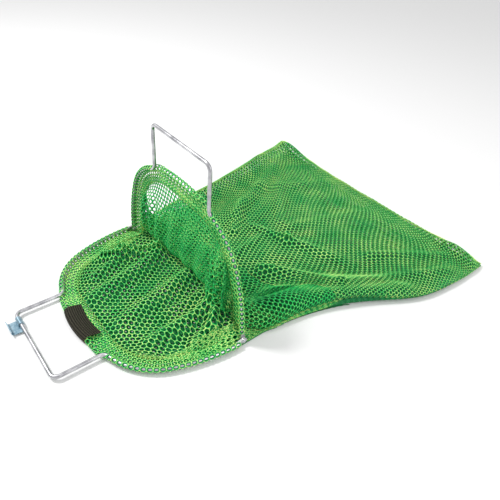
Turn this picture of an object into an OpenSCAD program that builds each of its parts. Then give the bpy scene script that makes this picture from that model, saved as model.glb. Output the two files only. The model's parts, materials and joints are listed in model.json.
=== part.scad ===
// Diver's catch bag with a hinged wire mouth.
// Two half hoops of round wire, each with its own handle, are riveted together at their ends.
// At rest the lower hoop lies flat and the upper hoop stands square to it. The bag lies behind.
// X runs along the hinge, Y towards the closed end of the bag, Z up. Z = 0 is the ground.

/* [Wire frame] */
// Diameter of the wire
wire_d = 4.76; // [4.2:0.01:5.2]
// Half width of the lower hoop, to the middle of its wire
hoop_half_w = 136; // [130:1:142]
// How much narrower the upper hoop is on each side, so that the two nest
nest = 6.5; // [6.3:0.1:8]
// Radius of the long curve on each side of a hoop
side_r = 240; // [220:1:260]
// Angle that the side curve turns through
side_turn = 22; // [21:1:23]
// Radius of the shoulder curve of a hoop
shoulder_r = 80; // [76:1:84]
// Distance between the legs of a handle, middle to middle
handle_w = 115; // [100:1:125]
// Distance from the hinge to the middle of a grip bar
handle_reach = 198; // [180:1:215]
// Bend radius where a leg leaves the hoop
root_bend_r = 9; // [7:0.5:12]
// Bend radius at the ends of a grip bar
corner_bend_r = 8; // [6:0.5:12]

/* [Hinge] */
// Height of the hinge above the ground
hinge_z = 6; // [6:0.1:7]
// Radius of the flattened end of a wire
tab_r = 4.4; // [4.2:0.1:4.6]
// Thickness of the flattened end of a wire
tab_t = 2.4; // [2:0.1:2.6]
// Diameter of the rivet
rivet_d = 3.2; // [3:0.1:3.6]
// Thickness of the washer between the two ends
washer_t = 0.8; // [0.6:0.1:1]
// Clearance round the rivet and between the faces
play = 0.05; // [0.03:0.01:0.08]
// Angle that the hoops keep between them when the mouth is shut
shut_gap = 3; // [3:0.5:6]

/* [Latch] */
// Thickness of the latch sheet
latch_t = 0.9; // [0.7:0.1:1.1]
// Inner radius of the hook
hook_r = 2.8; // [2.7:0.1:3]
// Length of the barrel along the grip bar
barrel_len = 12; // [8:1:14]
// Length of the hook along the grip bar
hook_len = 20; // [14:1:24]

/* [Bag] */
// Distance from the hinge to the closed end
bag_len = 388; // [360:1:420]
// Half width of the closed end
bag_half_w = 224; // [200:1:235]
// How far the closed end has slid sideways
bag_shift = 8; // [0:1:12]
// Height of the bag at its fullest
crown = 21; // [18:1:26]
// Thickness of one layer of net
net_t = 1.1; // [0.9:0.1:1.2]
// Width of the hem round the mouth
hem_w = 22; // [18:1:26]
// Width of the seam at the closed end
seam_w = 11; // [8:1:14]

/* [Webbing patch] */
// Width of the patch along the hem
patch_w = 56; // [40:1:60]
// Depth of the patch over the hem
patch_d = 21; // [18:1:24]
// Thickness of the webbing
webbing_t = 0.9; // [0.8:0.1:1]

/* [Hidden] */
$fn = 64;
wire_r = wire_d / 2;
fit = 0.07;
upper_half_w = hoop_half_w - nest;
leg_x = handle_w / 2;
neck = 9;
hinge_x = hoop_half_w - nest / 2;
stack = washer_t / 2 + play + tab_t;
sleeve_r = wire_r + 0.6;
hem_start = 14;
hem_low = wire_r + 0.4;
hem_high = hem_low + net_t;
flap = 8;
stitch_in = hem_w - 3;
stitch_len = 4;
stitch_pitch = 7;
stitch_d = 0.6;
arc_steps = 8;
grip_gap = 2 * handle_reach * sin(shut_gap / 2);
hook_back = -leg_x + corner_bend_r + 1.5;
body_start = 50;
sheet_z = net_t + 0.2;
throat_gap = 1.6;
edge_in = 4;
across = 24;
along = 12;
patch_front = 153;
floor_in = 10;
knuckle_r = wire_r - 0.3;

// ---- The arch of a hoop, drawn in its own plane with the hinge along the x axis ----

// Middle of the side curve of a hoop of half width w
function side_mid(w) = [w - side_r, 0];
// Middle of the shoulder curve
function shoulder_mid(w) =
    side_mid(w) + (side_r - shoulder_r) * [cos(side_turn), sin(side_turn)];
// Middle of the bend where the leg leaves the hoop
function root_mid(w) =
    let (m = shoulder_mid(w), dx = leg_x + root_bend_r - m.x)
    [m.x + dx, m.y + sqrt((shoulder_r + root_bend_r) ^ 2 - dx ^ 2)];
// Angle at which the shoulder meets that bend
function shoulder_end(w) =
    let (d = root_mid(w) - shoulder_mid(w)) atan2(d.y, d.x);

// Points of one side of the arch, moved outwards by grow, with the front pushed out by bulge
function half_arch(w, grow, bulge) = concat(
    [for (i = [0 : arc_steps])
        side_mid(w) + (side_r + grow) * [cos(side_turn * i / arc_steps), sin(side_turn * i / arc_steps)]],
    [for (i = [1 : arc_steps])
        let (a = side_turn + (90 - side_turn) * i / arc_steps,
             p = shoulder_mid(w) + (shoulder_r + grow) * [cos(a), sin(a)])
        p + [0, bulge * max(0, 1 - (p.x / (leg_x + root_bend_r)) ^ 2)]],
    [[shoulder_mid(w).x / 2, shoulder_mid(w).y + shoulder_r + grow + bulge * 0.9]]
);
function mirrored(points) = [for (i = [len(points) - 1 : -1 : 0]) [-points[i].x, points[i].y]];
function arch(w, grow, bulge = 0) =
    let (half = half_arch(w, grow, bulge)) concat(half, mirrored(half));

// Both sides of something round, turned over rather than mirrored
module both_sides() {
    children();
    rotate([0, 180, 0]) children();
}
// Lays a hoop's own plane flat on the ground, with the arch towards -Y
module lower_plane() {
    translate([0, 0, hinge_z]) rotate([180, 0, 0]) children();
}
// Stands a hoop's own plane upright
module upper_plane() {
    translate([0, 0, hinge_z]) rotate([90, 0, 0]) children();
}
// A round bar bent about middle m, from angle a to angle b
module bend(m, r, a, b, bar_r) {
    translate([m.x, m.y, 0]) rotate([0, 0, a]) rotate_extrude(angle = b - a)
        translate([r, 0]) circle(r = bar_r, $fn = 32);
}
// Ties two lengths of bar together inside the wire, at a place in the hoop's plane
module knuckle(place) {
    translate([place.x, place.y, 0]) sphere(r = knuckle_r, $fn = 32);
}
// The curved part of one side of a hoop, from start along the side to angle last on the shoulder
module side_bar(w, start, last, bar_r) {
    bend(side_mid(w), side_r, asin(start / side_r), side_turn, bar_r);
    bend(shoulder_mid(w), shoulder_r, side_turn, last, bar_r);
}

// ---- Wire frame ----

// One hoop with its handle. tab_x is where the flattened end starts.
module hoop(w, tab_x) {
    top = handle_reach - corner_bend_r;
    both_sides() {
        side_bar(w, neck, shoulder_end(w), wire_r);
        bend(root_mid(w), root_bend_r, 180, 180 + shoulder_end(w), wire_r);
        translate([leg_x, root_mid(w).y, 0]) rotate([-90, 0, 0])
            cylinder(r = wire_r, h = top - root_mid(w).y, $fn = 32);
        bend([leg_x - corner_bend_r, top], corner_bend_r, 0, 90, wire_r);
        for (place = [side_mid(w) + side_r * [cos(asin(neck / side_r)), neck / side_r],
                      side_mid(w) + side_r * [cos(side_turn), sin(side_turn)],
                      shoulder_mid(w) + shoulder_r * [cos(shoulder_end(w)), sin(shoulder_end(w))],
                      [leg_x, root_mid(w).y], [leg_x, top], [leg_x - corner_bend_r, handle_reach]])
            knuckle(place);
        hinge_tab(tab_x);
    }
    translate([corner_bend_r - leg_x, handle_reach, 0]) rotate([0, 90, 0])
        cylinder(r = wire_r, h = handle_w - 2 * corner_bend_r, $fn = 32);
}
// The flattened end of a wire, with its hole along the hinge
module hinge_tab(tab_x) {
    difference() {
        union() {
            translate([tab_x, 0, 0]) rotate([0, 90, 0]) cylinder(r = tab_r, h = tab_t);
            translate([tab_x, 0, 0]) rotate([90, 0, 90]) linear_extrude(tab_t)
                polygon([[0, -tab_r], [neck + wire_r, -wire_r * 0.7], [neck + wire_r, wire_r * 0.7],
                         [0, tab_r]]);
        }
        translate([tab_x - 1, 0, 0]) rotate([0, 90, 0]) cylinder(r = rivet_d / 2 + play, h = tab_t + 2);
    }
}
module lower_hoop_wire() {
    color("silver") lower_plane() hoop(hoop_half_w, hinge_x + washer_t / 2 + play);
}
module upper_hoop_wire() {
    color("silver") upper_plane() hoop(upper_half_w, hinge_x - stack);
}
// A rivet through both ends, with a domed head outside and a flared one inside
module rivet() {
    head_r = rivet_d;
    head_h = rivet_d / 2;
    reach = stack + play;
    translate([hinge_x, 0, hinge_z]) rotate([0, 90, 0]) {
        translate([0, 0, -reach]) cylinder(d = rivet_d, h = 2 * reach);
        translate([0, 0, reach]) cylinder(r1 = head_r, r2 = head_r * 0.55, h = head_h * 0.8);
        translate([0, 0, -reach - head_h / 2]) cylinder(r1 = head_r * 0.7, r2 = head_r * 0.9, h = head_h / 2);
    }
}
module washer() {
    translate([hinge_x - washer_t / 2, 0, hinge_z]) rotate([0, 90, 0]) difference() {
        cylinder(r = tab_r - 0.3, h = washer_t);
        translate([0, 0, -1]) cylinder(d = rivet_d + 4 * play, h = washer_t + 2);
    }
}
module near_rivet() {
    color("lightgray") rivet();
}
module far_rivet() {
    color("lightgray") mirror([1, 0, 0]) rivet();
}
module near_washer() {
    color("gray") washer();
}
module far_washer() {
    color("gray") mirror([1, 0, 0]) washer();
}

// ---- Latch: a sheet rolled round the lower grip bar, with a hook for the upper one ----

module latch_clip() {
    color("lightsteelblue") translate([hook_back, -handle_reach, hinge_z]) rotate([90, 0, 90]) {
        linear_extrude(barrel_len) difference() {
            circle(r = wire_r + 0.06 + latch_t);
            circle(r = wire_r + 0.06);
        }
        linear_extrude(hook_len) hook_outline();
    }
}
// The hook from its end: a strap out from under the barrel, curled up round the other bar's place
module hook_outline() {
    outer = hook_r + latch_t;
    difference() {
        union() {
            translate([-grip_gap, 0]) circle(r = outer);
            translate([-grip_gap, -outer]) square([grip_gap, latch_t]);
            translate([-grip_gap - outer, 0]) square([latch_t, hook_r]);
        }
        translate([-grip_gap, 0]) circle(r = hook_r);
        translate([-grip_gap - hook_r, 0]) square([grip_gap, outer + 1]);
        translate([-grip_gap, -hook_r]) square([outer + 1, outer + hook_r]);
        circle(r = wire_r + 0.06);
    }
}

// ---- Hems ----

// A folded band of net, with a sleeve round each side of the wire. face is +1 or -1: its side.
module hem(w, face) {
    low = face > 0 ? hem_low : -hem_high;
    difference() {
        union() {
            translate([0, 0, low]) linear_extrude(net_t) difference() {
                polygon(arch(w, 3, flap));
                polygon(arch(w, -hem_w, flap / 2));
                translate([-w * 2, -1]) square([w * 4, hem_start + 1]);
            }
            both_sides() side_bar(w, hem_start, shoulder_end(w) - 5, sleeve_r);
        }
        both_sides() side_bar(w, neck, shoulder_end(w), wire_r + fit);
    }
}
// A row of stitches along the inner edge of a hem, on its face at height base
module hem_row(w, base) {
    side_step = stitch_pitch / (side_r - stitch_in) * 180 / PI;
    shoulder_step = stitch_pitch / (shoulder_r - stitch_in) * 180 / PI;
    for (side = [0, 1]) mirror([side, 0, 0]) {
        for (a = [5 : side_step : side_turn - 0.5])
            stitch(side_mid(w), side_r - stitch_in, a, base);
        for (a = [side_turn + 1 : shoulder_step : 88])
            stitch(shoulder_mid(w), shoulder_r - stitch_in, a, base);
    }
}
module stitch(m, r, a, base) {
    translate([m.x, m.y, base]) rotate([0, 0, a]) translate([r, -stitch_len / 2, 0])
        cube([stitch_d, stitch_len, stitch_d]);
}
module lower_hem() {
    color("limegreen") lower_plane() hem(hoop_half_w, 1);
}
module upper_hem() {
    color("limegreen") upper_plane() hem(upper_half_w, -1);
}
module lower_hem_stitching() {
    color("yellowgreen") lower_plane() hem_row(hoop_half_w, hem_low - stitch_d);
}
module upper_hem_stitching() {
    color("yellowgreen") upper_plane() hem_row(upper_half_w, -hem_low);
}

// ---- Bag ----

// Rises smoothly from 0 to 1 as t goes from 0 to 1
function ease(t) = t * t * (3 - 2 * t);
// Where the edge of the bag lies at distance y behind the hinge. side is +1 near and -1 far.
function edge_x(y, side) =
    let (end = bag_shift + side * bag_half_w, start = side * (hoop_half_w + 3))
    start + (end - start) * ease(y / bag_len);
function edge_points(side, inset) =
    [for (i = [0 : along]) let (y = bag_len * i / along) [edge_x(y, side) - side * inset, y]];
function reversed(points) = [for (i = [len(points) - 1 : -1 : 0]) points[i]];

module bag_floor_panel() {
    front = [for (p = arch(hoop_half_w, -floor_in)) [p.x, -p.y]];
    color("mediumseagreen") linear_extrude(net_t)
        polygon(concat(front, edge_points(-1, 0), reversed(edge_points(1, 0))));
}

// A thin closed sheet through a grid of points, thickened along its own normals
module sheet(grid, t) {
    rows = len(grid);
    cols = len(grid[0]);
    normals = [for (i = [0 : rows - 1]) [for (j = [0 : cols - 1])
        let (du = grid[i][min(j + 1, cols - 1)] - grid[i][max(j - 1, 0)],
             dv = grid[min(i + 1, rows - 1)][j] - grid[max(i - 1, 0)][j],
             n = cross(du, dv))
        n / norm(n)]];
    inner = [for (row = grid) for (p = row) p];
    outer = [for (i = [0 : rows - 1]) for (j = [0 : cols - 1]) grid[i][j] + t * normals[i][j]];
    n = rows * cols;
    function id(i, j) = i * cols + j;
    faces = concat(
        [for (i = [0 : rows - 2]) for (j = [0 : cols - 2]) for (half = [0, 1])
            half == 0 ? [id(i, j), id(i, j + 1), id(i + 1, j + 1)] : [id(i, j), id(i + 1, j + 1), id(i + 1, j)]],
        [for (i = [0 : rows - 2]) for (j = [0 : cols - 2]) for (half = [0, 1])
            half == 0 ? [n + id(i, j), n + id(i + 1, j + 1), n + id(i, j + 1)]
                      : [n + id(i, j), n + id(i + 1, j), n + id(i + 1, j + 1)]],
        [for (j = [0 : cols - 2]) for (half = [0, 1])
            half == 0 ? [id(0, j), n + id(0, j), n + id(0, j + 1)] : [id(0, j), n + id(0, j + 1), id(0, j + 1)]],
        [for (j = [0 : cols - 2]) for (half = [0, 1]) let (r = rows - 1)
            half == 0 ? [id(r, j), n + id(r, j + 1), n + id(r, j)] : [id(r, j), id(r, j + 1), n + id(r, j + 1)]],
        [for (i = [0 : rows - 2]) for (half = [0, 1])
            half == 0 ? [id(i, 0), n + id(i + 1, 0), n + id(i, 0)] : [id(i, 0), id(i + 1, 0), n + id(i + 1, 0)]],
        [for (i = [0 : rows - 2]) for (half = [0, 1]) let (c = cols - 1)
            half == 0 ? [id(i, c), n + id(i, c), n + id(i + 1, c)] : [id(i, c), n + id(i + 1, c), id(i + 1, c)]]
    );
    polyhedron(concat(inner, outer), faces);
}
// Height of the bag's top at distance y, and at u from -1 at the far edge to 1 at the near edge
function top_z(u, y) =
    let (t = (y - body_start) / (bag_len - body_start))
    sheet_z + crown * (1 - 0.85 * ease(max(0, t))) * (1 - abs(u) ^ 3.5);
function top_point(u, y) =
    let (far = edge_x(y, -1) + edge_in, near = edge_x(y, 1) - edge_in)
    [far + (near - far) * (u + 1) / 2, y, top_z(u, y)];

module bag_top_panel() {
    end = bag_len - seam_w - 1;
    color("limegreen") sheet([for (i = [0 : along]) [for (j = [0 : across])
        top_point(2 * j / across - 1, body_start + (end - body_start) * i / along)]], net_t);
}
// Point at u on the inner edge of the upper hem
function hem_point(u) =
    let (s = hem_start + (shoulder_mid(upper_half_w).y + shoulder_r - stitch_in - hem_start)
             * (1 - abs(u) ^ 2.6) ^ 0.45)
    [(upper_half_w - stitch_in / 2) * u, hem_high + throat_gap, hinge_z + s];
// The throat drops steeply behind the upper hoop, then runs out along the bag
function throat_point(u, t) =
    let (a = hem_point(u), c = top_point(u, body_start - 1),
         b = [(a.x + c.x) / 2, a.y + 5, c.z * 0.8])
    (1 - t) ^ 2 * a + 2 * t * (1 - t) * b + t ^ 2 * c;

module bag_throat() {
    color("springgreen") sheet([for (i = [0 : along]) [for (j = [0 : across])
        throat_point(2 * j / across - 1, i / along)]], net_t);
}
module side_seam() {
    seam = edge_in - 1;
    color("green") translate([0, 0, net_t + 0.05]) linear_extrude(2 * net_t) intersection() {
        polygon(concat(edge_points(-1, 0), reversed(edge_points(-1, seam))));
        translate([-bag_half_w * 2, body_start]) square([bag_half_w * 2, bag_len - seam_w - body_start]);
    }
}
module end_seam() {
    y = bag_len - seam_w + 0.2;
    color("green") translate([0, 0, net_t + 0.05]) linear_extrude(2 * net_t)
        polygon([[edge_x(y, -1), y], [edge_x(bag_len, -1), bag_len], [edge_x(bag_len, 1), bag_len],
                 [edge_x(y, 1), y]]);
}

// ---- Webbing patch folded over the front of the lower hem ----

module webbing_patch() {
    top = hinge_z - hem_low + 0.15 + webbing_t;
    color("#3a322c") translate([-patch_w / 2, -patch_front, 0]) rotate([90, 0, 90])
        linear_extrude(patch_w) difference() {
            square([patch_d, top]);
            translate([webbing_t, webbing_t]) square([patch_d, top - 2 * webbing_t]);
        }
}
module patch_stitching() {
    top = hinge_z - hem_low + 0.15 + webbing_t;
    color("dimgray") for (x = [3 - patch_w / 2 : stitch_pitch / 2 : patch_w / 2 - 3])
        translate([x, -patch_front + patch_d - 3, top]) cube([2, stitch_d, stitch_d / 2]);
}

lower_hoop_wire();
upper_hoop_wire();
near_rivet();
far_rivet();
near_washer();
far_washer();
latch_clip();
lower_hem();
upper_hem();
lower_hem_stitching();
upper_hem_stitching();
bag_floor_panel();
bag_top_panel();
bag_throat();
side_seam();
end_seam();
webbing_patch();
patch_stitching();
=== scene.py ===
"""Looks for the hinged wire-mouth mesh catch bag: draped net, hems, webbing, wire and light."""
import json
import math

import bpy
import numpy as np
from mathutils import Matrix, Vector


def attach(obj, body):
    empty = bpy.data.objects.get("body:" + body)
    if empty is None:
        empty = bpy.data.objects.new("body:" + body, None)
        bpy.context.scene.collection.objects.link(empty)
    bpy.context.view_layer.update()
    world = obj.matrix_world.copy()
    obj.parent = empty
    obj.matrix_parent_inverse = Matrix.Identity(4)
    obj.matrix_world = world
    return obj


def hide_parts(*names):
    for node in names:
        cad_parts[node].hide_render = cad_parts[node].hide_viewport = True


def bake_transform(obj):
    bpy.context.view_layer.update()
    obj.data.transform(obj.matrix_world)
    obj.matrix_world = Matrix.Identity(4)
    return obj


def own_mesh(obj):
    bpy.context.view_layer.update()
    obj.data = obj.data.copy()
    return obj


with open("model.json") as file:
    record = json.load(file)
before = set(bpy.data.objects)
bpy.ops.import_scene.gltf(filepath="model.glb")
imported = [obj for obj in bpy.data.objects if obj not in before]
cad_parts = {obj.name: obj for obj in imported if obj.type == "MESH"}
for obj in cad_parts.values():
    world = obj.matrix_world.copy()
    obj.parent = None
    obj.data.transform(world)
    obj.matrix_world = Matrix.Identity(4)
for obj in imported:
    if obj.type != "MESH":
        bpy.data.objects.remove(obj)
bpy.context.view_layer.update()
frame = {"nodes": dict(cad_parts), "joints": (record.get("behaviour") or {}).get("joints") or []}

MM = 0.001
hinge = next(j for j in frame["joints"] if j["name"] == "mouth_hinge")
HINGE_Z = hinge["pos_m"][2] / MM

# The two hoops, in millimetres, as in the CAD source
WIRE_R = 2.38
LOWER_HALF_W = 136.0
UPPER_HALF_W = 129.5
SIDE_R = 240.0
SIDE_TURN = math.radians(22)
SHOULDER_R = 80.0
LEG_X = 57.5

# The net before it is hung, in millimetres
BAG_W = 450.0
BAG_LEN = 518.0
SIDE_CUT = 0.77
HEM_W = 22.0
END_Y = 388.0
END_MID_X = 8.0
END_HALF_W = 224.0
HEM_DROP = 3.8

# One cell of the net, in millimetres
CELL_W = 6.8
CELL_ROW = 4.8
HOLE_A = 2.35
HOLE_B = 2.08
STRAND_H = 0.62
KNOT_H = 0.82


# ---------------------------------------------------------------- plain helpers

def ease(t):
    """Rises smoothly from 0 to 1: 3 t^2 - 2 t^3."""
    t = np.clip(t, 0.0, 1.0)
    return t * t * (3 - 2 * t)


def build_mesh(name, points, quads, material, smooth=True, **point_values):
    """A mesh object at the origin from points in millimetres and an array of four-cornered faces."""
    mesh = bpy.data.meshes.new(name)
    mesh.vertices.add(len(points))
    mesh.vertices.foreach_set("co", (np.asarray(points) * MM).astype(np.float32).ravel())
    mesh.loops.add(quads.size)
    mesh.loops.foreach_set("vertex_index", quads.astype(np.int32).ravel())
    mesh.polygons.add(len(quads))
    mesh.polygons.foreach_set("loop_start", np.arange(0, quads.size, 4, dtype=np.int32))
    mesh.polygons.foreach_set("use_smooth", np.full(len(quads), smooth))
    for key, values in point_values.items():
        attribute = mesh.attributes.new(key, "FLOAT", "POINT")
        attribute.data.foreach_set("value", np.asarray(values, np.float32))
    mesh.update(calc_edges=True)
    mesh.materials.append(material)
    piece = bpy.data.objects.new(name, mesh)
    bpy.context.scene.collection.objects.link(piece)
    return piece


def add_uv(piece, uv):
    """Gives a piece a UV map from one pair of numbers per point."""
    loops = np.zeros(len(piece.data.loops), np.int32)
    piece.data.loops.foreach_get("vertex_index", loops)
    layer = piece.data.uv_layers.new(name="cloth")
    layer.data.foreach_set("uv", np.asarray(uv, np.float32)[loops].ravel())


# ---------------------------------------------------------------- hoops

def arch(half_w, along, grow):
    """Points (x, s) of a hoop at a share along it, from 0 at the near hinge to 1 at the far one.

    The outline is a side arc about (half_w - SIDE_R, 0), a shoulder arc tangent to it, and a straight
    front. grow moves it outwards along its own normal. s is the distance from the hinge line.
    """
    side = np.array([half_w - SIDE_R, 0.0])
    shoulder = side + (SIDE_R - SHOULDER_R) * np.array([math.cos(SIDE_TURN), math.sin(SIDE_TURN)])
    side_len = SIDE_R * SIDE_TURN
    shoulder_len = SHOULDER_R * (math.pi / 2 - SIDE_TURN)
    total = 2 * (side_len + shoulder_len + shoulder[0])
    d = np.asarray(along, float) * total
    m = np.minimum(d, total - d)
    a = np.clip(m / SIDE_R, -1, SIDE_TURN)
    b = SIDE_TURN + np.clip((m - side_len) / SHOULDER_R, 0, math.pi / 2 - SIDE_TURN)
    front = m > side_len + shoulder_len
    x = np.where(m > side_len, shoulder[0] + (SHOULDER_R + grow) * np.cos(b),
                 side[0] + (SIDE_R + grow) * np.cos(a))
    s = np.where(m > side_len, shoulder[1] + (SHOULDER_R + grow) * np.sin(b),
                 side[1] + (SIDE_R + grow) * np.sin(a))
    x = np.where(front, shoulder[0] - (m - side_len - shoulder_len), x)
    s = np.where(front, shoulder[1] + SHOULDER_R + grow, s)
    return x * np.where(d <= total / 2, 1.0, -1.0), s


def upper_place(x, s, n):
    """A point of the standing hoop's plane in the frame. n is towards the front."""
    return np.stack([x, -n, HINGE_Z + s], -1)


def lower_place(x, s, n):
    """A point of the lying hoop's plane in the frame. n is downwards."""
    return np.stack([x, -s, HINGE_Z - n], -1)


# ---------------------------------------------------------------- drape of the bag

# The net of threads that is draped, and how many of its rows the hoops hold
COLUMNS = 128
ROWS = 75
PINNED = 4

# How it is run, in seconds and millimetres
STEPS = 150
PASSES = 12
TIME_STEP = 1 / 120
GRAVITY = 9810.0
KEPT_SPEED = 0.97
TOP_SPEED = 600
OVER_PULL = 1.5
SMOOTH_PASSES = 3
STRAIGHTEN_PASSES = 40
STRAIGHT_FROM_ROW = 14

# Lowest heights over the ground of the top panel, the bottom panel and the two side folds
TOP_REST = 1.8
FLOOR_REST = 1.2
NEAR_FOLD_H = 8.0
FAR_FOLD_H = 19.0
LAYER_GAP = 2.2

# The height map of the bottom panel: its corner, its number of squares and the side of a square
MAP_LOW = (-280, -170)
MAP_SIZE = (72, 76)
HEIGHT_CELL = 8.0

# The outline that the sides are drawn to behind the hinge: distance behind it, and x of each edge
NEAR_EDGE = ((-200, 139), (0, 139), (28, 139), (100, 145), (156, 164), (200, 192), (231, 213),
             (254, 224), (320, 230), (400, 236))
FAR_EDGE = ((-200, -139), (0, -139), (126, -148), (179, -160), (300, -194), (400, -219))


def rim_rows(distances):
    """The net's first rows, one per distance in from the wire: the standing hoop, then the lying one."""
    column = np.arange(COLUMNS) / COLUMNS * 2
    rows = []
    for d in distances:
        x, s = arch(UPPER_HALF_W, np.clip(column, 0, 1), -d)
        upper = upper_place(x, s, np.full_like(x, -HEM_DROP))
        x, s = arch(LOWER_HALF_W, np.clip(2 - column, 0, 1), -d)
        lower = lower_place(x, s, np.full_like(x, HEM_DROP))
        rows.append(np.where((column <= 1)[:, None], upper, lower))
    return np.array(rows)


def closed_end():
    """The net's last row: a straight seam whose far corner stands a little off the ground."""
    column = np.arange(COLUMNS) / COLUMNS * 2
    f = np.where(column <= 1, column, 2 - column)
    corner = np.clip((f - 0.84) / 0.16, 0, 1)
    x = END_MID_X + END_HALF_W * (1 - 2 * f)
    y = END_Y - 3 * np.exp(-((f - 0.9) / 0.05) ** 2) - 3 * corner
    z = np.where(column <= 1, 3.0, 1.4) + 13 * corner
    return np.stack([x, y, z], 1)


def ridge(x, y, a, b, width, start, end):
    """Height of a rounded ridge along the line a to b: a Gaussian across, start to end along."""
    d = np.subtract(b, a)
    t = np.clip(((x - a[0]) * d[0] + (y - a[1]) * d[1]) / (d @ d), 0, 1)
    off = (x - a[0] - t * d[0]) ** 2 + (y - a[1] - t * d[1]) ** 2
    return (start + (end - start) * t) * np.exp(-off / width ** 2)


def loft(x, y):
    """How high the top panel is propped: three Gaussian ridges, none near the hoop.

    They stand for net bunched up inside the bag, which isn't made: nothing lies under them.
    """
    z = ridge(x, y, (-126, 50), (-212, 385), 20, 22, 14)
    z = np.maximum(z, ridge(x, y, (40, 60), (90, 300), 85, 19, 12))
    z = np.maximum(z, ridge(x, y, (106, 60), (205, 250), 15, 28, 17))
    return z * np.clip((y - 12) / 25, 0, 1) * np.clip((388 - y) / 10, 0, 1) ** 0.5


def pull(net, low_v, diag):
    """One pass of every thread towards its rest length, averaged over the threads at each knot."""
    move = np.zeros_like(net)
    weight = np.zeros(net.shape[:2] + (1,))

    def threads(a, b, rest, tight, slack):
        d = b - a
        length = np.sqrt((d * d).sum(-1, keepdims=True)) + 1e-9
        short = (length - rest) / length
        k = np.where(short > 0, tight, slack)
        return d * short * k * 0.5, k

    def around(step, rest, tight, slack):
        c, k = threads(net, np.roll(net, -step, 1), rest, tight, slack)
        move[:] += c - np.roll(c, step, 1)
        weight[:] += k + np.roll(k, step, 1)

    def down(step, shift, rest, tight, slack):
        c, k = threads(net[:-step], np.roll(net, -shift, 1)[step:], rest[:-step], tight, slack)
        move[:-step] += c
        weight[:-step] += k
        move[step:] -= np.roll(c, shift, 1)
        weight[step:] += np.roll(k, shift, 1)

    across = 2 * BAG_W / COLUMNS
    around(1, across, 1.0, 0.5)
    down(1, 0, low_v, 1.0, 0.8)
    down(1, 1, diag, 0.1, 0.1)
    down(1, -1, diag, 0.1, 0.1)
    for step, stiff in ((2, 0.18), (4, 0.12), (8, 0.05)):
        around(step, step * across, 0.0, stiff)
        down(step, 0, step * low_v, 0.0, stiff)
    return move / np.maximum(weight, 1.0)


def ground_cell(points):
    """Which square of the height map each point is over."""
    i = np.clip(((points[..., 0] - MAP_LOW[0]) / HEIGHT_CELL).astype(int), 0, MAP_SIZE[0] - 1)
    j = np.clip(((points[..., 1] - MAP_LOW[1]) / HEIGHT_CELL).astype(int), 0, MAP_SIZE[1] - 1)
    return i, j


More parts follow.
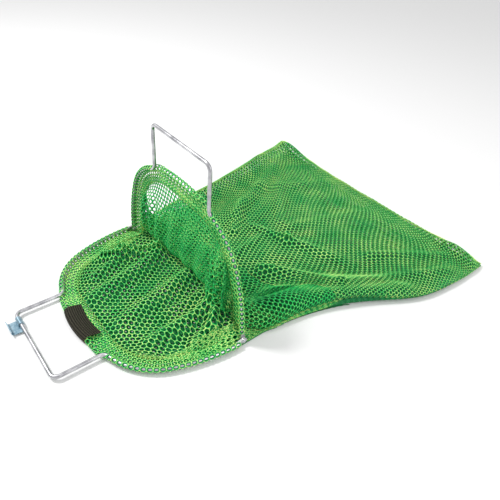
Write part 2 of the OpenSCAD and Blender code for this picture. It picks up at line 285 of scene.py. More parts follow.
def drape():
    """The bag's net: a tube of threads held by both hoops at one end and shut at the other.

    Every step adds gravity, then pulls each thread to its length, keeps the net off the ground,
    the top panel above the bottom one and behind the standing hoop, and the sides in their outline.
    It isn't a free fall: the sides are drawn to NEAR_EDGE and FAR_EDGE, loft() props the top panel,
    and the threads down the sides are cut to SIDE_CUT of their length, so the sides come out short.
    """
    random = np.random.default_rng(3)
    column = np.arange(COLUMNS) / COLUMNS * 2
    share = np.where(column <= 1, column, 2 - column)
    top = column <= 1
    row_len = BAG_LEN / (ROWS - 1)
    first, last = rim_rows(np.arange(PINNED) * row_len), closed_end()
    t = np.clip((np.arange(ROWS) - PINNED + 1) / (ROWS - PINNED), 0, 1)[:, None, None]
    net = first[-1] * (1 - t) + last * t
    net[:PINNED] = first
    swell = np.sin(math.pi * t[:, :, 0])
    net[..., 2] += np.where(top, 22 * np.sin(math.pi * share) + 6, 0.0) * swell
    net[PINNED:] += random.normal(0, 0.6, net[PINNED:].shape)
    free = np.ones((ROWS, COLUMNS, 1))
    free[:PINNED] = free[-1] = 0
    loose = free[..., 0] > 0
    side = 1 - np.clip(np.sin(math.pi * share) * 1.6, 0, 1)
    down = np.arange(ROWS)[:, None] * row_len
    low_v = (row_len * (1 - (1 - SIDE_CUT) * side * np.clip((down - 60) / 90, 0, 1)))[..., None]
    diag = np.hypot(2 * BAG_W / COLUMNS, low_v)
    crease = NEAR_FOLD_H * np.exp(-(share / 0.035) ** 2) + FAR_FOLD_H * np.exp(-((1 - share) / 0.05) ** 2)
    seam = np.exp(-(np.minimum(share, 1 - share) / 0.02) ** 2)
    near, far = np.array(NEAR_EDGE, float).T, np.array(FAR_EDGE, float).T
    speed = np.zeros_like(net)
    for _ in range(STEPS):
        speed *= KEPT_SPEED
        speed[..., 2] -= GRAVITY * TIME_STEP * free[..., 0]
        fast = np.sqrt((speed ** 2).sum(-1, keepdims=True))
        speed *= np.minimum(1, TOP_SPEED / np.maximum(fast, 1e-6))
        before = net.copy()
        net = net + speed * TIME_STEP * free
        for turn in range(PASSES):
            net = net + OVER_PULL * pull(net, low_v, diag) * free
            y = net[..., 1]
            fade = np.where(share > 0.5, 1, np.clip((375 - y) / 60, 0, 1))
            lift = crease * np.clip((y - 20) / 60, 0, 1) * fade
            floor = np.maximum(lift, np.where(top, TOP_REST, FLOOR_REST))
            net[..., 2] = np.where(loose, np.maximum(net[..., 2], floor), net[..., 2])
            inside = np.clip(net[..., 0], np.interp(y, *far), np.interp(y, *near))
            net[..., 0] += 0.5 * (inside - net[..., 0]) * free[..., 0]
            out = np.where(share > 0.5, np.interp(y, *far), np.interp(y, *near))
            hold = 0.35 * seam * ease((y - 20) / 40) * free[..., 0]
            net[..., 0] += hold * (out - net[..., 0])
            net[..., 1] = np.where(loose, np.minimum(y, END_Y), y)
            if turn % 4 == 0:
                under = net[:, ~top]
                heights = np.zeros(MAP_SIZE)
                np.maximum.at(heights, ground_cell(under), under[..., 2])
                heights = (heights + np.roll(heights, 1, 0) + np.roll(heights, -1, 0)
                           + np.roll(heights, 1, 1) + np.roll(heights, -1, 1)) / 5
            over = net[:, top]
            need = np.maximum(heights[ground_cell(over)] + LAYER_GAP, loft(over[..., 0], over[..., 1]))
            over[..., 2] += np.clip(np.where(loose[:, top], need, -1e9) - over[..., 2], 0, 3.0)
            held = (over[..., 2] > 6) & loose[:, top]
            over[..., 1] = np.where(held, np.maximum(over[..., 1], HEM_DROP), over[..., 1])
            net[:, top] = over
        speed = (net - before) / TIME_STEP * free
        speed[..., :2] *= np.where(net[..., 2] < 1.5, 0.3, 1.0)[..., None]
    for _ in range(SMOOTH_PASSES):
        smooth = net.copy()
        smooth[PINNED:-1] += 0.25 * (np.roll(net, 1, 1) + np.roll(net, -1, 1) - 2 * net)[PINNED:-1]
        smooth[PINNED:-1] += 0.25 * (net[PINNED + 1:] + net[PINNED - 1:-2] - 2 * net[PINNED:-1])
        net = smooth
    # The rows of cells behind the mouth are evened out in plan, which moves threads off their length,
    # and the seams keep their line
    rows = ease((np.arange(ROWS) - STRAIGHT_FROM_ROW) / 10)[1:-1, None, None]
    across = (0.25 * (1 - np.clip(4 * seam, 0, 1)))[None, :, None]
    for _ in range(STRAIGHTEN_PASSES):
        plan = net[..., :2]
        change = 0.25 * (plan[2:] + plan[:-2] - 2 * plan[1:-1])
        change = change + across * (np.roll(plan, 1, 1) + np.roll(plan, -1, 1) - 2 * plan)[1:-1]
        net[1:-1, :, :2] += rows * change
    net[..., 2] = np.maximum(net[..., 2], FLOOR_REST)
    return net


class Cloth:
    """A smooth surface through the draped net: a uniform cubic B-spline, joined up around the tube."""

    def __init__(self, net):
        self.net = net

    def __call__(self, u, v):
        """u runs round the tube from 0 to 2 BAG_W, v along it from 0 to BAG_LEN, in millimetres."""
        a = np.asarray(u) / (2 * BAG_W) * COLUMNS
        b = np.clip(np.asarray(v) / BAG_LEN * (ROWS - 1), 0, ROWS - 1.001)
        i, j = np.floor(a).astype(int), np.floor(b).astype(int)

        def basis(t):
            return ((1 - t) ** 3 / 6, (3 * t ** 3 - 6 * t ** 2 + 4) / 6,
                    (-3 * t ** 3 + 3 * t ** 2 + 3 * t + 1) / 6, t ** 3 / 6)

        total = 0.0
        for m, wu in enumerate(basis(a - i)):
            for n, wv in enumerate(basis(b - j)):
                row = np.clip(j + n - 1, 0, ROWS - 1)
                total = total + self.net[row, (i + m - 1) % COLUMNS] * (wu * wv)[..., None]
        return total


# ---------------------------------------------------------------- the net's cells

# Twelve places round a cell: corners and middles of a hexagon, in quarter widths and sixth rows.
# Every second one is a knot.
CELL_RING = np.array([(0, 4), (1, 3), (2, 2), (2, 0), (2, -2), (1, -3),
                      (0, -4), (-1, -3), (-2, -2), (-2, 0), (-2, 2), (-1, 3)])
SIDES = len(CELL_RING)
UV_SCALE = 0.01


def cells(u0, u1, v0, v1, wide=1.0, dense=1.0):
    """The whole cells of flat net between u0 and u1, v0 and v1: their points, heights and faces.

    Cells are hexagons in staggered rows. Each strand is a low ridge: highest along the line where two
    cells meet, higher still at the knots, and down to nothing at the edge of the oval hole.
    """
    w, row = CELL_W * wide, CELL_ROW * wide
    j, i = np.meshgrid(np.arange(int(v0 / row), int(v1 / row) + 2),
                       np.arange(int(u0 / w) - 1, int(u1 / w) + 2), indexing="ij")
    centre = np.stack([4 * i + 2 * (j % 2), 6 * j], -1).reshape(-1, 2)
    at = centre * np.array([w / 4, row / 6])
    keep = ((at[:, 0] >= u0 + w / 2) & (at[:, 0] <= u1 - w / 2)
            & (at[:, 1] >= v0 + row / 2) & (at[:, 1] <= v1 - row / 2))
    centre, at = centre[keep], at[keep]
    count = len(centre)
    keys = (centre[:, None] + CELL_RING).reshape(-1, 2)
    ring, where = np.unique(keys, axis=0, return_inverse=True)
    where = where.reshape(count, SIDES)
    knot = np.zeros(len(ring), bool)
    knot[where[:, ::2]] = True
    outer = ring * np.array([w / 4, row / 6])
    way = CELL_RING * np.array([w / 4, row / 6])
    angle = np.arctan2(way[:, 1], way[:, 0])
    size = wide * dense / np.sqrt((np.cos(angle) / HOLE_A) ** 2 + (np.sin(angle) / HOLE_B) ** 2)
    hole = size[:, None] * np.stack([np.cos(angle), np.sin(angle)], 1)
    inner = (at[:, None] + hole).reshape(-1, 2)
    ridge_h = np.where(knot, KNOT_H, STRAND_H)
    points = np.concatenate([outer, outer, inner])
    height = np.concatenate([ridge_h, -ridge_h, np.zeros(len(inner))])
    n = len(ring)
    inside = 2 * n + np.arange(count * SIDES).reshape(count, SIDES)
    after = np.roll(np.arange(SIDES), -1)
    face = np.stack([where, inside, inside[:, after], where[:, after]], -1).reshape(-1, 4)
    back = np.stack([n + where, n + where[:, after], inside[:, after], inside], -1).reshape(-1, 4)
    a, b = where.ravel(), where[:, after].ravel()
    edge = np.minimum(a, b) * n + np.maximum(a, b)
    _, first, count_of = np.unique(edge, return_index=True, return_counts=True)
    a, b = a[first[count_of == 1]], b[first[count_of == 1]]
    wall = np.stack([a, b, n + b, n + a], -1)
    return points, height, np.concatenate([face, back, wall])


def knit(name, surface, span, material, wide=1.0, turned=False, dense=1.0, depth=1.0):
    """A piece of open net laid on a surface, and its number of cells. surface(u, v) is in millimetres.

    Each point goes to the surface and then along its normal by the strand's height there. wide makes
    the cells larger, dense below 1 makes the holes smaller, and a painted light share below 1 paints
    shade on the strands: they come out darker, with less of the painted highlight on their crests.
    """
    points, height, quads = cells(*span, wide, dense)
    u, v = points.T
    base = surface(u, v)
    step = 1.0
    du = surface(u + step, v) - surface(u - step, v)
    dv = surface(u, v + step) - surface(u, v - step)
    normal = np.cross(du, dv)
    normal /= np.linalg.norm(normal, axis=1, keepdims=True) + 1e-9
    if turned:
        normal, quads = -normal, quads[:, ::-1]
    # Painted highlight: the colour is lighter where the strand stands up, at its crests and knots, and
    # lowered by the share of painted light
    crest = np.clip(np.abs(height) / KNOT_H, 0, 1) * depth
    piece = build_mesh(name, base + normal * height[:, None], quads, material, crest=crest)
    add_uv(piece, points * UV_SCALE)
    return piece, np.count_nonzero(height == 0) // SIDES


# ---------------------------------------------------------------- hems

SLEEVE_R = WIRE_R + 0.75
FOLD_QUARTER = SLEEVE_R * math.pi / 2
HEM_HALF = HEM_W + FOLD_QUARTER
FLAP = 8.0
FLAP_HALF_W = LEG_X + 9
CLOSE_OVER = 4.5


def hem_surface(half_w, place, face, length):
    """The hem as a folded band: round the wire in a half circle, then two layers to the stitch line.

    Between the legs of the handle there is no wire: the fold runs on past it by FLAP, flat, on the
    cloth's side of the legs. face is the side of the hoop's plane that the cloth is on, and within
    CLOSE_OVER of the wire the two layers come together there.
    """
    def surface(u, c):
        d = c - HEM_HALF
        flat = np.maximum(np.abs(d) - FOLD_QUARTER, 0)
        turn = np.clip(d / SLEEVE_R, -math.pi / 2, math.pi / 2)
        grow = SLEEVE_R * np.cos(turn) - flat
        n = SLEEVE_R * np.sin(turn) * (1 - 0.82 * ease(flat / CLOSE_OVER))
        x, s = arch(half_w, u / length, np.zeros_like(u))
        between = ease((FLAP_HALF_W - np.abs(x)) / 16)
        roll = ease((46 - np.abs(x)) / 14) * (1 - ease(flat / 12))
        n = n * (1 - 0.68 * between + 0.75 * roll)
        n = n + face * (HEM_DROP * np.maximum(between, ease(flat / CLOSE_OVER)) - 2.1 * roll)
        grow = grow + FLAP * np.clip(1 - (x / FLAP_HALF_W) ** 2, 0, 1) * (1 - 0.6 * ease(flat / 20))
        x, s = arch(half_w, u / length, grow)
        return place(x, s, n)
    return surface


# ---------------------------------------------------------------- materials

def new_material(name, roughness, metallic=0.0):
    """A Principled material and a small function that adds linked nodes to it."""
    material = bpy.data.materials.new(name)
    material.use_nodes = True
    tree = material.node_tree
    shader = tree.nodes["Principled BSDF"]
    shader.inputs["Roughness"].default_value = roughness
    shader.inputs["Metallic"].default_value = metallic

    def node(kind, **settings):
        made = tree.nodes.new(kind)
        for key, value in settings.items():
            if key in made.inputs:
                made.inputs[key].default_value = value
            else:
                setattr(made, key, value)
        return made

    return material, shader, node, tree.links.new


def ramp(node, stops):
    """Sets a colour ramp's stops from (place, colour) pairs."""
    elements = node.color_ramp.elements
    while len(elements) < len(stops):
        elements.new(0.5)
    for element, (place, colour) in zip(elements, stops):
        element.position = place
        element.color = (*colour, 1)


def net_material(name, deep, mid, bright):
    """Yarn in uneven patches, with painted light: painted shade, deep green, at the edge of the holes,
    and a painted highlight, lighter and yellower, on the crests.
    """
    material, shader, node, link = new_material(name, 0.42)
    shader.inputs["Specular IOR Level"].default_value = 0.35
    crest = node("ShaderNodeAttribute", attribute_name="crest")
    place = node("ShaderNodeTexCoord")
    patches = node("ShaderNodeTexNoise", Scale=26.0, Detail=3.0, Roughness=0.55)
    fine = node("ShaderNodeTexNoise", Scale=420.0, Detail=2.0)
    link(place.outputs["Object"], patches.inputs["Vector"])
    link(place.outputs["Object"], fine.inputs["Vector"])
    strand = node("ShaderNodeMath", operation="MULTIPLY_ADD")
    strand.inputs[1].default_value = 0.80
    strand.inputs[2].default_value = -0.50
    link(crest.outputs["Fac"], strand.inputs[0])
    patchy = node("ShaderNodeMath", operation="MULTIPLY_ADD")
    patchy.inputs[1].default_value = 0.5
    link(patches.outputs["Fac"], patchy.inputs[0])
    link(strand.outputs[0], patchy.inputs[2])
    grainy = node("ShaderNodeMath", operation="MULTIPLY_ADD")
    grainy.inputs[1].default_value = 0.5
    link(fine.outputs["Fac"], grainy.inputs[0])
    link(patchy.outputs[0], grainy.inputs[2])
    # Painted light: the ramp runs from painted shade at the hole edges to a painted highlight on the crests
    colour = node("ShaderNodeValToRGB")
    ramp(colour, ((0.12, deep), (0.48, mid), (0.86, bright)))
    link(grainy.outputs[0], colour.inputs["Fac"])
    link(colour.outputs["Color"], shader.inputs["Base Color"])
    twist = node("ShaderNodeTexWave", Scale=95.0, Distortion=2.0, bands_direction="DIAGONAL")
    link(node_uv(node, "cloth").outputs["UV"], twist.inputs["Vector"])
    bump = node("ShaderNodeBump", Strength=0.5, Distance=0.0002)
    link(twist.outputs["Fac"], bump.inputs["Height"])
    link(bump.outputs["Normal"], shader.inputs["Normal"])
    return material


def node_uv(node, name):
    """A node that reads the piece's own UV map."""
    made = node("ShaderNodeUVMap")
    made.uv_map = name
    return made


def wire_material():
    """Drawn zinc-coated wire: satin metal with lengthwise draw marks and duller patches."""
    material, shader, node, link = new_material("galvanized_wire", 0.3, 1.0)
    place = node("ShaderNodeTexCoord")
    patches = node("ShaderNodeTexNoise", Scale=60.0, Detail=4.0, Roughness=0.6)
    link(place.outputs["Object"], patches.inputs["Vector"])
    colour = node("ShaderNodeValToRGB")
    ramp(colour, ((0.3, (0.30, 0.30, 0.32)), (0.55, (0.56, 0.56, 0.58)), (0.8, (0.80, 0.81, 0.83))))
    link(patches.outputs["Fac"], colour.inputs["Fac"])
    link(colour.outputs["Color"], shader.inputs["Base Color"])
    dull = node("ShaderNodeMapRange", **{"To Min": 0.2, "To Max": 0.42})
    link(patches.outputs["Fac"], dull.inputs["Value"])
    link(dull.outputs["Result"], shader.inputs["Roughness"])
    fine = node("ShaderNodeTexNoise", Scale=900.0, Detail=2.0)
    link(place.outputs["Object"], fine.inputs["Vector"])
    bump = node("ShaderNodeBump", Strength=0.25, Distance=0.0001)
    link(fine.outputs["Fac"], bump.inputs["Height"])
    link(bump.outputs["Normal"], shader.inputs["Normal"])
    return material


def plated_material(name, dark, light, roughness):
    """Zinc-plated sheet or rivet: satin metal with cloudy tint."""
    material, shader, node, link = new_material(name, roughness, 0.85)
    place = node("ShaderNodeTexCoord")
    cloud = node("ShaderNodeTexNoise", Scale=140.0, Detail=4.0, Roughness=0.65)
    link(place.outputs["Object"], cloud.inputs["Vector"])
    colour = node("ShaderNodeValToRGB")
    ramp(colour, ((0.35, dark), (0.7, light)))
    link(cloud.outputs["Fac"], colour.inputs["Fac"])
    link(colour.outputs["Color"], shader.inputs["Base Color"])
    bump = node("ShaderNodeBump", Strength=0.3, Distance=0.00015)
    link(cloud.outputs["Fac"], bump.inputs["Height"])
    link(bump.outputs["Normal"], shader.inputs["Normal"])
    return material


def webbing_material():
    """Dark woven webbing with painted light: lighter where both a rib and the fine weave stand up, as a
    painted highlight, and darker elsewhere, as painted shade.
    """
    material, shader, node, link = new_material("dark_webbing", 0.78)
    shader.inputs["Specular IOR Level"].default_value = 0.16
    rib = node("ShaderNodeAttribute", attribute_name="rib")
    weave = node("ShaderNodeTexWave", Scale=32.0, Distortion=0.5, bands_direction="X")
    link(node_uv(node, "cloth").outputs["UV"], weave.inputs["Vector"])
    both = node("ShaderNodeMath", operation="MULTIPLY")
    link(rib.outputs["Fac"], both.inputs[0])
    link(weave.outputs["Fac"], both.inputs[1])
    colour = node("ShaderNodeValToRGB")
    # Painted highlight on the rib tops and raised weave, painted shade between them
    ramp(colour, ((0.05, (0.003, 0.003, 0.002)), (0.45, (0.011, 0.010, 0.006)), (0.95, (0.12, 0.11, 0.075))))
    link(both.outputs[0], colour.inputs["Fac"])
    link(colour.outputs["Color"], shader.inputs["Base Color"])
    bump = node("ShaderNodeBump", Strength=0.8, Distance=0.0004)
    link(both.outputs[0], bump.inputs["Height"])
    link(bump.outputs["Normal"], shader.inputs["Normal"])
    return material


# ---------------------------------------------------------------- camera, floor and light

# Degrees, metres and millimetres
CAMERA_TURN = (-46.86, 39.14, 5.94)
CAMERA_PLACE = (0.39735, -0.25133, 0.44103)
CAMERA_LENS = 33.65
CAMERA_SENSOR = 36
FLOOR_REACH = 6.0


def set_camera():
    """A camera that looks down on the bag from in front of its near side."""
    yaw, pitch, roll = (math.radians(a) for a in CAMERA_TURN)
    forward = np.array([math.sin(yaw) * math.cos(pitch), math.cos(yaw) * math.cos(pitch), -math.sin(pitch)])
    right = np.array([math.cos(yaw), -math.sin(yaw), 0.0])
    up = np.cross(right, forward)
    across = math.cos(roll) * right + math.sin(roll) * up
    up = -math.sin(roll) * right + math.cos(roll) * up
    camera = bpy.data.objects.new("camera", bpy.data.cameras.new("camera"))
    turn = Matrix([[*row] for row in np.stack([across, up, -forward], 1)]).to_4x4()
    camera.matrix_world = Matrix.Translation(CAMERA_PLACE) @ turn
    camera.data.lens = CAMERA_LENS
    camera.data.sensor_width = CAMERA_SENSOR
    camera.data.clip_start = 0.01
    bpy.context.scene.collection.objects.link(camera)
    bpy.context.scene.camera = camera


def set_floor():
    """A plain pale floor, far wider than the view."""
    reach = FLOOR_REACH
    corners = np.array([(-reach, -reach, 0), (reach, -reach, 0), (reach, reach, 0), (-reach, reach, 0)]) / MM
    material, shader, _, _ = new_material("pale_floor", 0.9)
    shader.inputs["Base Color"].default_value = (0.80, 0.80, 0.80, 1)
    build_mesh("floor", corners, np.array([[0, 1, 2, 3]]), material, smooth=False)


def add_light(name, place, aim, power, size):
    """A square soft box at place, in metres, turned to face aim."""
    data = bpy.data.lights.new(name, "AREA")
    data.energy = power
    data.size = size
    light = bpy.data.objects.new(name, data)
    back = np.subtract(place, aim)
    turn = Vector([float(v) for v in back]).to_track_quat("Z", "Y").to_matrix().to_4x4()
    light.matrix_world = Matrix.Translation(place) @ turn
    bpy.context.scene.collection.objects.link(light)


def set_view():
    """Plain, unfiltered colour."""
    bpy.context.scene.view_settings.view_transform = "Standard"


def set_light():
    """A bright even room, a key light from the upper left and a weak one from the right."""
    world = bpy.data.worlds.new("room")
    bpy.context.scene.world = world
    world.use_nodes = True
    world.node_tree.nodes["Background"].inputs["Color"].default_value = (1, 1, 1, 1)
    world.node_tree.nodes["Background"].inputs["Strength"].default_value = 0.82
    add_light("key", (-0.7, -0.5, 1.3), (0, 0.1, 0), 17, 0.3)
    add_light("fill", (1.2, 0.5, 1.0), (0, 0.1, 0), 6, 1.0)


# ---------------------------------------------------------------- making the pieces

set_camera()
set_floor()
set_light()
set_view()

# The first colour is painted shade for the hole edges, the last a painted highlight for the crests
green = net_material("green_net", (0.0, 0.19, 0.045), (0.006, 0.56, 0.095), (0.95, 1.0, 0.32))
wire = wire_material()
rivet_steel = plated_material("rivet_steel", (0.42, 0.43, 0.45), (0.66, 0.67, 0.70), 0.34)
zinc = plated_material("blue_zinc", (0.12, 0.22, 0.29), (0.40, 0.53, 0.60), 0.32)
webbing = webbing_material()

cloth = Cloth(drape())

# ---------------------------------------------------------------- panels of the bag

# Where the panels begin and end, in millimetres of net from the wire
CURTAIN_START = 11.0
NET_START = 15.0
THROAT_END = 175.0
MOUTH_END = 190.0
TOP_SPLIT = 350
BODY_END = BAG_LEN - 3
BODY_WIDE = 1.1

# Folds and creases laid over the drape, listed one by one: from, to, width, and the height at both ends
MOUTH_FOLDS = (((-95, -66), (-62, 0), 7, 14, 21), ((-66, -92), (-84, -40), 8, 8, 9),
               ((-30, -110), (-54, 0), 11, 9, 17), ((26, -100), (2, 22), 13, 7, 19),
               ((74, -90), (72, 20), 10, 11, 24), ((104, -50), (86, 22), 7, 10, 22),
               ((104, -22), (74, -6), 6, 14, 12), ((112, -4), (66, 4), 15, 15, 18),
               ((44, -60), (40, 20), 6, 3, 8))
CREASES = (((-40, 120), (-100, 185), 8, 9, 6), ((-76, 150), (-190, 372), 9, 6, 9),
           ((-36, 155), (30, 165), 7, 5, 11), ((20, 50), (-4, 150), 7, 8, 3),
           ((60, 90), (136, 170), 8, 12, 6), ((136, 170), (205, 330), 8, 6, 4),
           ((0, 200), (40, 340), 12, 5, 3), ((-120, 240), (-60, 370), 10, 5, 4),
           ((120, 250), (190, 372), 7, 5, 3), ((-20, 200), (-170, 330), 8, 5, 2),
           ((30, 165), (120, 215), 9, 8, 2))


def mouth_folds(point):
    """Lifts the net in the lower mouth into soft folds that run from the front towards the hinges."""
    x, y, z = np.moveaxis(point, -1, 0)
    lift = sum(ridge(x, y, *fold) for fold in MOUTH_FOLDS)
    rim = ease((HINGE_Z + 134 - np.hypot(x * 0.98, np.minimum(y, 0) * 0.93)) / 20) * ease((44 - y) / 30)
    return np.stack([x, y, z + 0.9 + lift * rim], -1)


def bag_top(u, v):
    """The top panel: the draped net with a few soft creases, each a Gaussian across its own line."""
    point = cloth(u, v)
    x, y, z = np.moveaxis(point, -1, 0)
    lift = sum(ridge(x, y, *crease) for crease in CREASES)
    inside = ease((END_Y - 6 - y) / 30) * ease((y - 20) / 25) * ease((v - 150) / 30)
    return np.stack([x, y, z + lift * inside], -1)


def mouth_floor(u, v):
    """The bottom panel in the lower mouth, with its folds."""
    return mouth_folds(cloth(u, v))


def bag_floor(u, v):
    """The bottom panel behind the mouth, a little above the ground."""
    return cloth(u, v) + np.array([0, 0, 0.9])


def slack(u, v):
    """An extra layer of slack net that lies flat under the mouth: the same outline, pressed to the ground.
    It is knitted close and coloured dark as painted shade, so that the holes of the mouth show shadow.
    """
    point = cloth(u, v)
    point[..., 2] = 0.8
    return point


def pleated(u, v):
    """The curtain behind the standing hoop, gathered forward into upright pleats at both hinges.

    The push forward is a Gaussian across each side of the hoop, with a cosine of the height of the
    pleats on it, and it dies out at the stitch line and at the ground.
    """
    point = bag_top(u, v)
    x, _, z = np.moveaxis(point, -1, 0)
    low = 16 * np.exp(-((z - 10) / 34) ** 2)
    side = np.exp(-((x - 88) / 28) ** 2) * (8 + low + 3.4 * np.cos(2 * math.pi * (x + 0.12 * z) / 15))
    side = side + np.exp(-((x + 92) / 24) ** 2) * (4 + 2.5 * np.cos(2 * math.pi * (x - 0.1 * z) / 17))
    push = side * ease((v - 24) / 34) * ease((z - 4) / 26) * ease((150 - v) / 40)
    ripple = 1.6 * np.sin(2 * math.pi * (x - 0.25 * z) / 33) * ease((v - 24) / 40) * ease((z - 4) / 20)
    point[..., 1] += ripple - push
    return point


END_BAND_HALF = 13
FAR_BAND_HALF = 11
SEAM_INNER = 30.0


def end_band(u, c):
    """The closed end's hem: from the top panel, half way round the last thread, to the bottom panel."""
    d = c - END_BAND_HALF
    reach = np.clip(np.abs(d) - 2.0, 0, None)
    top = cloth(u, BAG_LEN - reach)
    low = cloth(2 * BAG_W - u, BAG_LEN - reach)
    side = ease(0.5 + d / 8)[..., None]
    point = top * (1 - side) + low * side
    round_off = np.sqrt(np.clip(1 - (d / 4) ** 2, 0, 1))
    return point + np.stack([0 * d, 1.6 * round_off, 1.1 * np.clip(-d / 3, -1, 1) + 1.0], -1)


def far_seam(u, c):
    """The long side seam: the net within FAR_BAND_HALF of the far fold, moved 1.4 outwards.

    Outwards is from the net SEAM_INNER in from the fold to the fold itself. The net is sheared there,
    so lines across the strip lean along it.
    """
    point = cloth(BAG_W + c - FAR_BAND_HALF, u)
    out = cloth(np.full_like(c, BAG_W), u) - cloth(np.full_like(c, BAG_W - SEAM_INNER), u)
    out /= np.linalg.norm(out, axis=-1, keepdims=True) + 1e-9
    return point + out * 1.4 + np.array([0, 0, 0.7])


HEM_SPAN = (4, BAG_W - 4, 0, 2 * HEM_HALF)
parts = {}


def strip_size(surface, span):
    """Length and width in metres of a strip, taken along the middle lines of its own surface."""
    u, v = np.linspace(*span[:2], 200), np.linspace(*span[2:], 60)
    lines = surface(u, np.full_like(u, v.mean())), surface(np.full_like(v, u.mean()), v)
    return [float(np.linalg.norm(np.diff(line, axis=0), axis=1).sum()) * MM for line in lines]


def add_net(name, surface, span, bodies, nodes=(), held="laid", rests_on=(), strip=False, **looks):
    """Makes one net piece, parents it to the body it rides on and hides the CAD nodes it stands for.

    It works out the piece's flat size, a strip's along the middle lines of its own finished surface,
    but keeps it nowhere. A strip's flat size is measured on its own finished surface, so it doesn't
    test that surface.
    """
    piece, count = knit(name, surface, span, green, **looks)
    width, length = (span[1] - span[0]) * MM, (span[3] - span[2]) * MM
    if strip:
        width, length = strip_size(surface, span)
    if bodies:
        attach(piece, bodies)
    if nodes:
        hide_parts(*nodes)
    parts[name] = piece
    return piece


add_net("bag_top_front", bag_top, (0, BAG_W, THROAT_END - CELL_ROW, TOP_SPLIT), "root", turned=True,
        wide=BODY_WIDE, held="draped", rests_on=("lower_hoop_wire",))
add_net("bag_top_back", bag_top, (0, BAG_W, TOP_SPLIT - CELL_ROW, BODY_END), "root", ("bag_top_panel",),
        turned=True, wide=BODY_WIDE, held="draped", rests_on=("lower_hoop_wire",))
# The curtain's strands are coloured darker than the rest as painted shade, for the shadow behind the
# standing hoop
add_net("bag_throat_net", pleated, (0, BAG_W, CURTAIN_START, THROAT_END), None, ("bag_throat",),
        turned=True, dense=0.9, depth=0.8, held="hung", rests_on=("upper_hoop_wire",))
add_net("bag_floor_mouth", mouth_floor, (BAG_W, 2 * BAG_W, NET_START, MOUTH_END), "root", turned=True,
        wide=1.05, held="laid", rests_on=("lower_hoop_wire",))
# The ground side is knitted closer than the rest, so that the pale ground doesn't show, and coloured darker
# as painted shade, for the shadow inside the bag
add_net("bag_floor_back", bag_floor, (BAG_W, 2 * BAG_W, MOUTH_END - CELL_ROW, BODY_END), "root",
        ("bag_floor_panel",), turned=True, dense=0.45, depth=0.15, wide=1.12, held="laid",
        rests_on=("floor",))
# The slack layer under the mouth is painted shade: knitted close and coloured dark so that the mouth's holes
# look shadowed
add_net("bag_floor_slack_painted_shade", slack, (BAG_W + 12, 2 * BAG_W - 12, NET_START, MOUTH_END + 40), "root",
        turned=True, dense=0.4, depth=0.1, wide=1.25, held="laid", rests_on=("floor",))
add_net("upper_hem_net", hem_surface(UPPER_HALF_W, upper_place, -1, BAG_W), HEM_SPAN, "upper_frame",
        ("upper_hem",), dense=0.84, held="folded", rests_on=("upper_hoop_wire",))
add_net("lower_hem_net", hem_surface(LOWER_HALF_W, lower_place, 1, BAG_W), HEM_SPAN, "root",
        ("lower_hem",), dense=0.94, held="folded", rests_on=("lower_hoop_wire",))
add_net("end_seam_band", end_band, (1, BAG_W - 1, 0, 2 * END_BAND_HALF), "root", ("end_seam",),
        wide=1.15, dense=0.8, held="folded", rests_on=("floor",))
add_net("far_seam_band", far_seam, (70, BAG_LEN - 2, 0, 2 * FAR_BAND_HALF), "root", ("side_seam",),
        dense=0.75, strip=True, held="folded", rests_on=("floor",))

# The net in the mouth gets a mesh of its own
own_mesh(parts["bag_floor_mouth"])

# The curtain's share of the standing hoop's turn, all of it at its hem and none at its foot, is worked
# out here but not used. It is set by how far along the net a point is, not by its place, because the net is
# folded.
SAMPLES_AROUND = 91
SAMPLES_DOWN = 120
LANDED_H = 14
LANDED_BEHIND = 16
SHORTEST_CURTAIN = 14
throat = parts["bag_throat_net"]
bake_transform(throat)
points, _, _ = cells(0, BAG_W, CURTAIN_START, THROAT_END)
u, v = points.T
around = np.linspace(0, BAG_W, SAMPLES_AROUND)
along = np.linspace(HEM_W, THROAT_END, SAMPLES_DOWN)
line = bag_top(np.repeat(around, SAMPLES_DOWN), np.tile(along, SAMPLES_AROUND))
line = line.reshape(SAMPLES_AROUND, SAMPLES_DOWN, 3)
# The foot is where each line down the curtain first lies low or well behind the hoop
landed = (line[..., 2] < LANDED_H) | (line[..., 1] > LANDED_BEHIND)
foot = np.maximum(along[np.argmax(landed, axis=1)], HEM_W + SHORTEST_CURTAIN)
foot = np.convolve(np.pad(foot, 3, mode="edge"), np.ones(7) / 7, mode="valid")
t = (v - HEM_W) / (np.interp(u, around, foot) - HEM_W)
share = (1 - ease((t - 0.35) / 0.65)) * (1 - ease((pleated(u, v)[:, 1] - 8) / 14))

# ---------------------------------------------------------------- webbing patch and stitching

PATCH_HALF = 28.0
PATCH_TOP = 16.0
PATCH_FOLD = 4.6
PATCH_FRONT = 148.2
PATCH_BOW = 3.2
PATCH_THICK = 0.9
RIB = 2.5
RIB_H = 0.38
RIB_STEPS = 6


def patch_surface(a, c):
    """The webbing: a across the patch, c from its inner edge over the top, round the fold and under.

    Two nearly flat runs joined by a half circle of radius PATCH_FOLD, with a low rounded rib, the
    size of a sine wave, every RIB. The front edge bows back by PATCH_BOW at both ends.
    """
    turn = np.clip((c - PATCH_TOP) / PATCH_FOLD, 0, math.pi)
    beyond = np.maximum(c - PATCH_TOP - PATCH_FOLD * math.pi, 0)
    before = np.maximum(PATCH_TOP - c, 0)
    out = PATCH_FOLD + RIB_H * np.abs(np.sin(math.pi * c / RIB))
    s = PATCH_FRONT + out * np.sin(turn) - before - beyond
    centre = 5.0 - 1.6 * ease(before / 18)
    z = centre + out * np.cos(turn) * (1 - 0.5 * ease(before / 18) - 0.35 * ease(beyond / 12))
    s = s - PATCH_BOW * (a / PATCH_HALF) ** 2
    return np.stack([a, -s, np.maximum(z, 0.5)], -1)


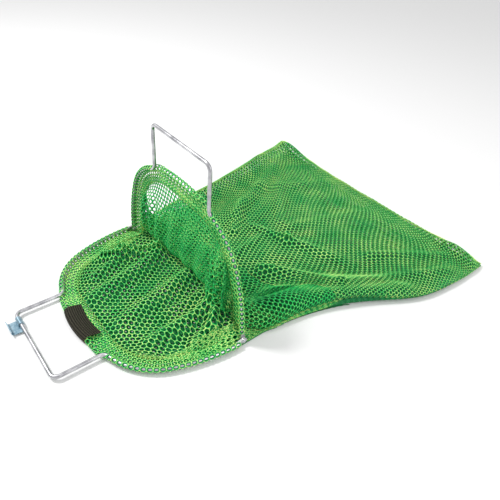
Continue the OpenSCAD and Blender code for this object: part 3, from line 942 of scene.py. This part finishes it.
def grid_piece(name, surface, a, c, material, thickness):
    """A thin sheet on a grid of two parameters, given its thickness by Solidify."""
    aa, cc = np.meshgrid(a, c, indexing="ij")
    index = np.arange(aa.size).reshape(aa.shape)
    # Painted highlight mask: 1 on the tops of the ribs, where the light catches them, 0 between them
    rib_highlight = np.abs(np.sin(math.pi * cc.ravel() / RIB))
    quads = np.stack([index[:-1, :-1], index[1:, :-1], index[1:, 1:], index[:-1, 1:]], -1).reshape(-1, 4)
    piece = build_mesh(name, surface(aa.ravel(), cc.ravel()), quads, material, rib=rib_highlight)
    add_uv(piece, np.stack([aa.ravel(), cc.ravel()], 1) * UV_SCALE)
    solid = piece.modifiers.new("thickness", "SOLIDIFY")
    solid.thickness = thickness * MM
    solid.offset = -1
    return piece


patch_len = 2 * PATCH_TOP + PATCH_FOLD * math.pi - 4
patch = grid_piece("webbing_patch_band", patch_surface, np.linspace(-PATCH_HALF, PATCH_HALF, 60),
                   np.arange(0, patch_len, RIB / RIB_STEPS), webbing, PATCH_THICK)
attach(patch, "root")
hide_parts("webbing_patch")


def stitches(name, start, step, thread, radius, material):
    """Short thread stitches: a six-sided pill, repeated. start and step are points and directions."""
    turn = np.linspace(0, 2 * math.pi, 7)[:-1]
    along = np.array([-1, -0.8, 0.8, 1]) * 0.5
    size = np.array([0.35, 1, 1, 0.35]) * radius
    step = step / np.linalg.norm(step, axis=1, keepdims=True)
    side = np.cross(step, [0, 0, 1.0])
    side /= np.linalg.norm(side, axis=1, keepdims=True) + 1e-9
    up = np.cross(side, step)
    ring = (start[:, None, None] + step[:, None, None] * (along * thread)[None, :, None, None]
            + side[:, None, None] * (size[:, None] * np.cos(turn))[None, :, :, None]
            + up[:, None, None] * (size[:, None] * np.sin(turn))[None, :, :, None])
    base = np.arange(len(start))[:, None] * (len(along) * len(turn))
    k = np.arange(len(turn))
    rows = [np.stack([r * 6 + k, r * 6 + (k + 1) % 6, r * 6 + 6 + (k + 1) % 6, r * 6 + 6 + k], -1)
            for r in range(3)]
    caps = np.array([[0, 5, 4, 1], [1, 4, 3, 2], [18, 19, 22, 23], [19, 20, 21, 22]])
    one = np.concatenate([*rows, caps])
    quads = (base[:, :, None] + one[None]).reshape(-1, 4)
    return build_mesh(name, ring.reshape(-1, 3), quads, material)


def seam_material(name, colour):
    """Sewing thread: fine twist on a dull surface."""
    material, shader, node, link = new_material(name, 0.6)
    place = node("ShaderNodeTexCoord")
    twist = node("ShaderNodeTexNoise", Scale=2500.0, Detail=1.0)
    link(place.outputs["Object"], twist.inputs["Vector"])
    tone = node("ShaderNodeValToRGB")
    ramp(tone, ((0.3, tuple(0.55 * c for c in colour)), (0.7, colour)))
    link(twist.outputs["Fac"], tone.inputs["Fac"])
    link(tone.outputs["Color"], shader.inputs["Base Color"])
    bump = node("ShaderNodeBump", Strength=0.4, Distance=0.0001)
    link(twist.outputs["Fac"], bump.inputs["Height"])
    link(bump.outputs["Normal"], shader.inputs["Normal"])
    return material


# The rows of stitches on the patch, each stitch's (length, radius), and the pitch of the hem's
PATCH_ROWS = (2.6, 4.4, 14.9, 16.6, 18.4)
PATCH_STITCH = (1.5, 0.36)
HEM_PITCH = 5.2
HEM_STITCH = (3.2, 0.35)
HEM_STITCH_IN = 3.0

dark_thread = seam_material("dark_thread", (0.50, 0.44, 0.40))
green_thread = seam_material("green_thread", (0.16, 0.50, 0.07))

aa, cc = np.meshgrid(np.linspace(-25.5, 25.5, 22), PATCH_ROWS, indexing="ij")
here, there = patch_surface(aa.ravel() - 0.4, cc.ravel()), patch_surface(aa.ravel() + 0.4, cc.ravel())
patch_thread = stitches("patch_stitch_rows", (here + there) / 2 + [0, 0, 0.12], there - here,
                        *PATCH_STITCH, dark_thread)
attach(patch_thread, "root")
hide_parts("patch_stitching")

for name, half_w, place, face, body in (("upper", UPPER_HALF_W, upper_place, -1, "upper_frame"),
                                        ("lower", LOWER_HALF_W, lower_place, 1, "root")):
    hem = hem_surface(half_w, place, face, BAG_W)
    u = np.arange(10, BAG_W - 10, HEM_PITCH)
    c = np.full_like(u, 2 * HEM_HALF - HEM_STITCH_IN if name == "upper" else HEM_STITCH_IN)
    here, there = hem(u - 1, c), hem(u + 1, c)
    out = np.array([0, -1.0, 0]) if name == "upper" else np.array([0, 0, 1.0])
    thread = stitches(name + "_hem_stitches", (here + there) / 2 + out, there - here,
                      *HEM_STITCH, green_thread)
    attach(thread, body)
    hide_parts(name + "_hem_stitching")

# The metal pieces keep their shape from the frame and get their finish here
for name, material in (("lower_hoop_wire", wire), ("upper_hoop_wire", wire), ("near_rivet", rivet_steel),
                       ("far_rivet", rivet_steel), ("near_washer", rivet_steel), ("far_washer", rivet_steel),
                       ("latch_clip", zinc)):
    mesh = frame["nodes"][name].data
    mesh.materials.clear()
    mesh.materials.append(material)
